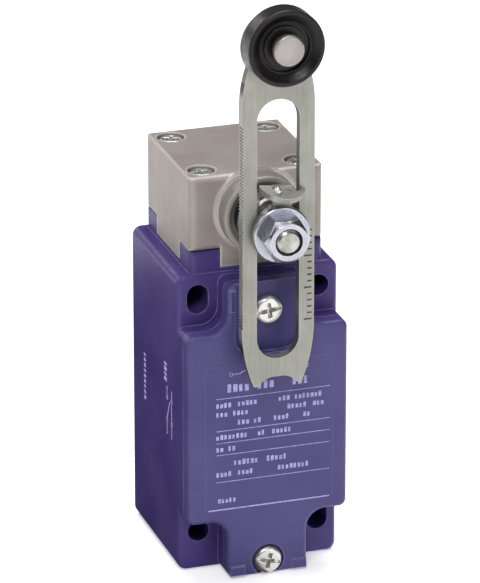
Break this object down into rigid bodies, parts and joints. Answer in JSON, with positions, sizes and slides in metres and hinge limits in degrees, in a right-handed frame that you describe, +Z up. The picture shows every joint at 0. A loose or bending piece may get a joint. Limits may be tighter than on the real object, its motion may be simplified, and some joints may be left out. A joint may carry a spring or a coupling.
{
  "type": "roller lever limit switch",
  "caption": "Box-shaped position switch with a notched bolted cover, a square rotary head and a slotted, adjustable-length lever that carries a roller.",
  "frame": {"origin": "centre of the four fixing holes on the flat mounting face", "axes": "+Z up towards the head and roller, +Y into the mounting surface, so the cover and lever face -Y, +X to the right seen from the front"},
  "size_m": [0.04, 0.0593, 0.1468],
  "materials": {
    "indigo_paint": "satin",
    "cover_paint": "satin",
    "gasket_rubber": "matt",
    "seal_rubber": "matt",
    "bright_zinc": "bright zinc plate",
    "grey_casting": "satin zinc casting",
    "bronze": "sintered",
    "block_plastic": "moulded",
    "lid_plastic": "moulded",
    "contact_brass": "bright",
    "turned_steel": "turned",
    "lever_zinc": "zinc plated, pressed",
    "nut_zinc": "bright zinc plate",
    "rivet_steel": "satin",
    "roller_plastic": "moulded",
    "spring_steel": "drawn wire"
  },
  "bodies": {
    "switch": {"housing": "indigo_paint", "front_cover": "cover_paint", "cover_gasket": "gasket_rubber", "cover_screws": "bright_zinc", "head_casting": "grey_casting", "head_gasket": "gasket_rubber", "head_screws": "bright_zinc", "shaft_bush": "bronze", "shaft_seal": "seal_rubber", "plunger_guide": "bronze", "plunger_seal": "seal_rubber", "contact_block_base": "block_plastic", "contact_block_lid": "lid_plastic", "contact_block_screws": "bright_zinc", "fixed_contacts": "contact_brass", "terminal_clamps": "contact_brass", "terminal_screws": "bright_zinc", "earth_clamp": "contact_brass", "earth_screw": "bright_zinc"},
    "shaft": {"shaft": "turned_steel", "shaft_retaining_ring": "turned_steel", "cam": "turned_steel", "lever_hub": "turned_steel", "clamp_plate": "lever_zinc", "clamp_pin": "bright_zinc", "clamp_washer": "nut_zinc", "clamp_nut": "nut_zinc"},
    "lever": {"lever_plate": "lever_zinc", "roller_rivet": "rivet_steel", "roller_bush": "bronze", "roller_washer": "lever_zinc"},
    "roller": {"roller": "roller_plastic"},
    "plunger": {"plunger": "turned_steel", "return_spring": "spring_steel"},
    "carriage": {"contact_carriage": "lid_plastic", "moving_contacts": "contact_brass", "contact_spring": "spring_steel"}
  },
  "joints": [
    {"name": "lever_swing", "type": "hinge", "parent": "switch", "child": "shaft", "pos_m": [0, -0.045, 0.051], "axis": [0, -1, 0], "range_deg": [-75, 75], "stiffness_Nm_per_rad": 0.12},
    {"name": "lever_length", "type": "slide", "parent": "shaft", "child": "lever", "axis": [0, 0, 1], "range_m": [-0.022, 0.0255]},
    {"name": "roller_spin", "type": "hinge", "parent": "lever", "child": "roller", "pos_m": [0, -0.054, 0.0976], "axis": [0, -1, 0], "continuous": true},
    {"name": "plunger_travel", "type": "slide", "parent": "switch", "child": "plunger", "axis": [0, 0, 1], "range_m": [-0.00132, 0.00132], "deforming": ["return_spring"]},
    {"name": "carriage_travel", "type": "slide", "parent": "switch", "child": "carriage", "axis": [0, 0, 1], "range_m": [-0.00132, 0.00132], "deforming": ["contact_spring"]}
  ],
  "couplings": [
    {"joint": "plunger_travel", "follows": "lever_swing", "m_per_rad": 0.001},
    {"joint": "carriage_travel", "follows": "lever_swing", "m_per_rad": 0.001}
  ]
}
